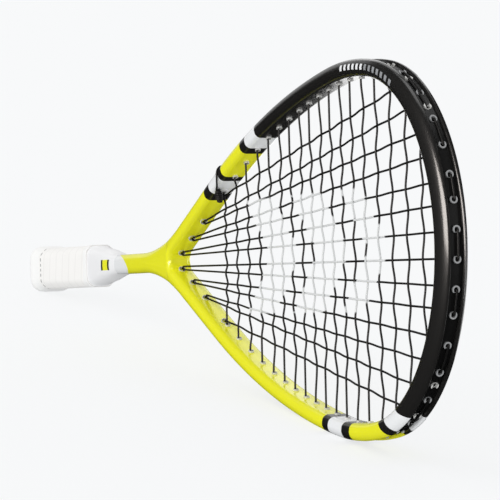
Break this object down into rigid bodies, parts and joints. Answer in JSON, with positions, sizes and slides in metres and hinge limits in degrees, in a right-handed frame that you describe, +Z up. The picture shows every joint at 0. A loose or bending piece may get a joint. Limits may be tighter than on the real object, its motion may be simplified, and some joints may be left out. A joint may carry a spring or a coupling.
{
  "type": "squash racket",
  "caption": "Teardrop squash racket with a grooved hollow frame, an open strung throat, grommets, woven strings and a taped octagonal handle.",
  "frame": {"origin": "centre of the footprint on the floor that the racket rests on, standing on its edge", "axes": "+X along the racket towards the tip, +Z up across the head, -Y out of the front of the string bed"},
  "size_m": [0.6808, 0.0312, 0.2104],
  "materials": {
    "frame_paint": "gloss lacquer over a composite laminate: lime yellow, black and white bands",
    "black_nylon": "matt moulded nylon",
    "grommet_nylon": "translucent grey nylon",
    "string": "twisted multifilament with a thin coating and white stencil ink",
    "handle_foam": "moulded rigid foam",
    "white_cap": "satin moulded",
    "grip_polymer": "soft embossed synthetic tape",
    "white_tape": "thin adhesive tape",
    "white_taper": "satin lacquer"
  },
  "bodies": {
    "root": {"frame": "frame_paint", "head_groove_strip": "black_nylon", "left_groove_strip": "black_nylon", "right_groove_strip": "black_nylon", "head_grommets": "grommet_nylon", "left_side_grommets": "grommet_nylon", "right_side_grommets": "grommet_nylon", "left_throat_grommets": "grommet_nylon", "right_throat_grommets": "grommet_nylon", "main_strings": "string", "main_string_loops": "string", "cross_strings": "string", "cross_string_loops": "string", "tie_off_knot": "string", "front_handle_core": "handle_foam", "back_handle_core": "handle_foam", "butt_cap": "white_cap", "grip_tape": "grip_polymer", "finishing_tape": "white_tape", "handle_taper": "white_taper"}
  },
  "joints": []
}
